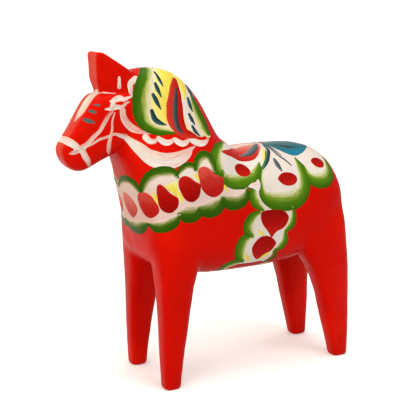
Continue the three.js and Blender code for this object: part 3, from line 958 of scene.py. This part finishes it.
def paint_girth(side):
    trunk = RoundChart(side)
    work("girth_ground", side).patch([(28, 150), (25, 140), (28, 132), (26, 126), (20, 120), (20, 112),
        (15, 106), (12, 98), (14, -34, 91), (12, -29, 87), (14, -22, 85), (34, -22, 85), (42, -31, 88),
        (44, 94), (50, 100), (52, 108), (56, 114), (58, 122), (56, 130), (46, 140)], trunk, "ground_white",
        grain=60)
    band = work("girth_scallops", side)
    band.strokes([
        ([(27, 147.5), (23.5, 145), (23, 139.5), (26, 134), (31, 129.5)], [3, 7, 9, 8.5, 3]),
        ([(28, 127.5), (22.5, 125.3), (18.5, 120), (18.5, 115), (22, 110.5)], [3, 8, 10, 9.5, 4]),
        ([(21, 110.5), (15, 108), (12, 101.5), (12.5, 95.5), (16, -34, 90.5)], [3, 10, 11, 10, 4]),
        ([(16, -33.5, 90.5), (8, -33, 90.5), (2, -31, 88.5), (0, -26, 86)], [3, 6.5, 8, 8]),
    ], "green_to_white", layer=2, edge="right")
    band.strokes([
        ([(57, 128), (57.5, 121.5), (55.5, 115.5), (50.5, 111)], [3, 6.5, 7.5, 4]),
        ([(50, 111), (50.5, 104.5), (47.5, 99.5), (41.5, -36, 96)], [3, 7.5, 8, 3]),
    ], "green_to_white", layer=2, edge="left")
    band.strokes([([(43, 97), (42.5, -32, 91), (36, -30, 87.5)], [3, 6.5, 4])], "olive", layer=2)
    band.patch([(18.5, 147.5), (22, 150), (25.5, 150.5), (28.5, 152.5), (30, 149), (29, 145), (26.5, 143),
        (23.5, 145.5)], trunk, "white", layer=4)
    leaves = work("girth_petals", side)
    leaves.patch([(29, 128), (38, 129), (48, 127.5), (53, 123.5), (53.5, 118.5), (49.5, 113.5), (43, 111),
        (38.5, 107), (35.5, 111.5), (31, 117), (28.5, 122.5)], trunk, "petal_red", layer=3, grain=20)
    leaves.patch([(25.5, 107), (31.5, 109.5), (38, 108), (42.5, 104), (43, 101), (38.5, 95.5),
        (32, -34, 92), (28, -33, 90.5), (23.5, 94.5), (21.5, 101)], trunk, "petal_red", layer=3, grain=35)
    leaves.patch([(8, -30, 87.5), (14, -32, 89), (24, -32, 88.5), (34, -32, 88.5), (36, -28, 86.5),
        (26, -26, 85.5), (14, -26, 86)], trunk, "petal_mid_red", layer=3, grain=0)
    leaves.strokes([
        ([(26.5, 114), (29, 111.5), (32, 109.5)], [1, 3, 1]),
        ([(16.5, 97), (18, 93.5), (21.5, -34, 90.5)], [1.5, 4, 1.5]),
        ([(30, -33.5, 91), (34, 93), (38, 95.5)], [1, 3, 1.2]),
    ], "yellow", layer=4)


def paint_chest():
    """Where the two halves of the garland meet."""
    garland = work("chest_garland_scallops")
    garland.strokes([
        ([(-66, 8, 148.5), (-67, 3, 153), (-68, -4, 155.5), (-68, -11, 156.5), (-66.5, -16.5, 155),
         (-65, -19.5, 152), (-63, -22, 148)], [3, 5, 7, 7.5, 7.5, 6.5, 3]),
        ([(-66, 8, 149), (-66, 13, 154.5), (-64.5, 18, 154), (-63, 22, 149)], [3, 6, 6.5, 3]),
    ], "garland_green", layer=3)
    garland.strokes([
        ([(-60, 9, 123.5), (-60, 5, 120.8), (-60, -2, 120), (-59.5, -9, 120.5), (-58.5, -16, 122.8),
         (-57, -22, 126)], [4, 9, 11, 11, 10, 4]),
        ([(-57, 25, 126.5), (-58.5, 20, 122.3), (-59.5, 14, 121), (-60, 8.5, 123.5)], [4, 9, 10, 4]),
    ], "garland_green", layer=3, edge="right")
    petals = work("chest_garland_petals")
    chest = ChestChart("left")
    petals.patch([(-66, 2, 145.5), (-65.5, -5, 145.5), (-65, -10, 143.5), (-63.5, -14.5, 139),
        (-62.5, -15.5, 135), (-62, -12, 130.5), (-61.5, -6, 127), (-62, 0, 129.5), (-63, 4, 134),
        (-65, 5, 140)], chest, "petal_rose", layer=4, grain=-60)
    petals.patch([(-64.5, 12.5, 141), (-64, 9.5, 137), (-62.5, 11.5, 130), (-61, 15.5, 127),
        (-60, 19.5, 129.5), (-61, 20, 135), (-63, 17, 141)], chest, "petal_rose", layer=4, grain=-60)


paint_blaze()
for side_name in MIRROR:
    for paint_part in (paint_head, paint_mane, paint_garland, paint_saddle, paint_girth):
        paint_part(side_name)
paint_chest()
for made in works:
    made.build()


# ---- boards -------------------------------------------------------------------------------------
RED = ground_paint()
PINE = bare_wood("bare_pine", (0.62, 0.42, 0.20), (0.40, 0.22, 0.09), 60)
BIRCH = bare_wood("bare_birch", (0.60, 0.43, 0.24), (0.46, 0.29, 0.14), 90)


ON_PLANE = 1e-3  # nearer than this to a joint plane is on it


def box_mesh(ranges):
    (x0, x1), (y0, y1), (z0, z1) = ranges
    points = [(x * MM, y * MM, z * MM) for x in (x0, x1) for y in (y0, y1) for z in (z0, z1)]
    faces = [(0, 1, 3, 2), (4, 6, 7, 5), (0, 4, 5, 1), (2, 3, 7, 6), (0, 2, 6, 4), (1, 5, 7, 3)]
    mesh = bpy.data.meshes.new("cell")
    mesh.from_pydata(points, [], faces)
    return mesh


def cut_board(name):
    """The part of the carved surface that belongs to one board, closed by bare joint faces."""
    cutter = link(bpy.data.objects.new("cutter", box_mesh(CELLS[name])))
    piece = link(bpy.data.objects.new("carved_" + name, whole_mesh.copy()))
    modifier = piece.modifiers.new("cut", "BOOLEAN")
    modifier.operation = "INTERSECT"
    modifier.solver = "MANIFOLD"
    modifier.object = cutter
    apply_modifiers(piece)
    bpy.data.objects.remove(cutter)
    mesh = piece.data
    mesh.materials.clear()
    mesh.materials.append(RED)
    mesh.materials.append(PINE)
    co = vertices_of(mesh) / MM
    on_joint = np.zeros((len(co), 4), bool)
    for k, (axis, plane) in enumerate([(a, p) for a in (0, 1) for p in CELLS[name][a]]):
        on_joint[:, k] = np.abs(co[:, axis] - plane) < ON_PLANE
    joint_faces = np.array([on_joint[list(p.vertices)].all(0).any() for p in mesh.polygons])
    mesh.polygons.foreach_set("material_index", joint_faces.astype(int))
    mesh.polygons.foreach_set("use_smooth", ~joint_faces)
    at_vertex = [smooth_normal(*SURFACE.find_nearest(v.co)[::2]) for v in mesh.vertices]
    corner = [Vector((0, 0, 0))] * len(mesh.loops)
    for p, joint in zip(mesh.polygons, joint_faces):
        for k in p.loop_indices:
            corner[k] = p.normal if joint else at_vertex[mesh.loops[k].vertex_index]
    mesh.normals_split_custom_set(corner)
    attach(piece, "root")
    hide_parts(name)
    return piece


for name in BOARDS:
    cut_board(name)
bpy.data.objects.remove(whole)
for name in DOWELS:
    nodes[name].data.materials.clear()
    nodes[name].data.materials.append(BIRCH)


# ---- studio, in metres --------------------------------------------------------------------------
SWEEP_TURN = 28.55  # degrees from the Y axis, so that the wall stands square behind the object
MIDDLE = (0, 0, 0.12)  # of the object
WARM_SIDE = (-0.8, 0.6, 0)
SEEN_WHITE = (1, 1, 1)


def studio_floor():
    """Pale sweep: floor, rounded corner and wall in one sheet."""
    near, far, top = -1.3, 2.6, 4.0
    radius, half_width = 0.9, 0.6
    steps = 12
    profile = [(near, 0.0), (far - radius, 0.0)]
    for k in range(1, steps + 1):
        angle = math.pi / 2 * k / steps
        profile.append((far - radius + radius * math.sin(angle), radius - radius * math.cos(angle)))
    profile.append((far, top))
    turn = math.radians(SWEEP_TURN)
    points = []
    for depth, z in profile:
        for aside in (-half_width, half_width):
            x = aside * math.cos(turn) + depth * math.sin(turn)
            y = -aside * math.sin(turn) + depth * math.cos(turn)
            points.append((x, y, z))
    faces = [(2 * i, 2 * i + 1, 2 * i + 3, 2 * i + 2) for i in range(len(profile) - 1)]
    mesh = bpy.data.meshes.new("studio_sweep")
    mesh.from_pydata(points, [], faces)
    mesh.polygons.foreach_set("use_smooth", [True] * len(faces))
    s = Shader("pale_paper")
    s.set("Base Color", s.as_seen((0.93, 0.93, 0.93), (0.55, 0.55, 0.55, 1)))
    s.set("Roughness", 0.9)
    s.set("Specular IOR Level", 0.1)
    s.set("Emission Color", s.as_seen((0.94, 0.98, 1), (0.4, 0.4, 0.4, 1)))
    s.set("Emission Strength", 0.16)
    mesh.materials.append(s.material)
    sweep = link(bpy.data.objects.new("studio_sweep", mesh))


def area_light(name, position, target, size, power, colour=(1, 1, 1)):
    data = bpy.data.lights.new(name, "AREA")
    data.shape = "SQUARE"
    data.size = size
    data.energy = power
    data.color = colour
    lamp = link(bpy.data.objects.new(name, data))
    lamp.location = position
    lamp.rotation_euler = (Vector(target) - Vector(position)).to_track_quat("-Z", "Y").to_euler()


studio_floor()
area_light("big_soft_front", (-1.5, -1.1, 0.75), MIDDLE, 1.5, 17, (1, 0.94, 0.84))
area_light("soft_top", (-0.1, -0.3, 1.7), MIDDLE, 1.6, 21, (1, 0.97, 0.92))
area_light("soft_near_side", (0.5, -1.4, 1.1), MIDDLE, 1.2, 10)
area_light("warm_far_side", (-1.0, 1.7, 0.5), MIDDLE, 1.6, 7, (1, 0.7, 0.45))
area_light("wall_wash", (0.2, 0.7, 1.9), (1.2, 2.4, 0.7), 1.6, 28, (1, 0.96, 0.92))


def studio_world():
    """White all round as seen. The light from it is strong and warm behind the chest and weak elsewhere."""
    world = bpy.data.worlds.new("studio")
    bpy.context.scene.world = world
    world.use_nodes = True
    s = Nodes(world.node_tree)
    background = s.find("BACKGROUND")
    direction = s.node("TexCoord").outputs["Generated"]
    facing = s.node("VectorMath", {0: direction, 1: WARM_SIDE}, operation="DOT_PRODUCT").outputs["Value"]
    spread = s.range(facing, -1, 1, 0, 1)
    stops = [(0.3, (0.28, 0.28, 0.28)), (0.6, (0.40, 0.40, 0.39)), (1.0, (0.86, 0.56, 0.34))]
    light = s.ramp(spread, stops)
    s.put(background.inputs[0], s.as_seen(SEEN_WHITE, light))


studio_world()


# ---- camera -------------------------------------------------------------------------------------
DOWN, AROUND = 11.887, 28.576  # degrees: how far it looks down, and is turned from the Y axis towards X
camera_data = bpy.data.cameras.new("camera")
camera_data.lens = 90.35
camera_data.sensor_width = 36
camera_data.clip_start = 0.01
camera_data.clip_end = 20
camera = link(bpy.data.objects.new("camera", camera_data))
camera.location = (-0.36056, -0.65717, 0.29085)
camera.rotation_euler = (math.radians(90 - DOWN), 0, math.radians(-AROUND))
bpy.context.scene.camera = camera
bpy.context.scene.view_settings.view_transform = "Standard"
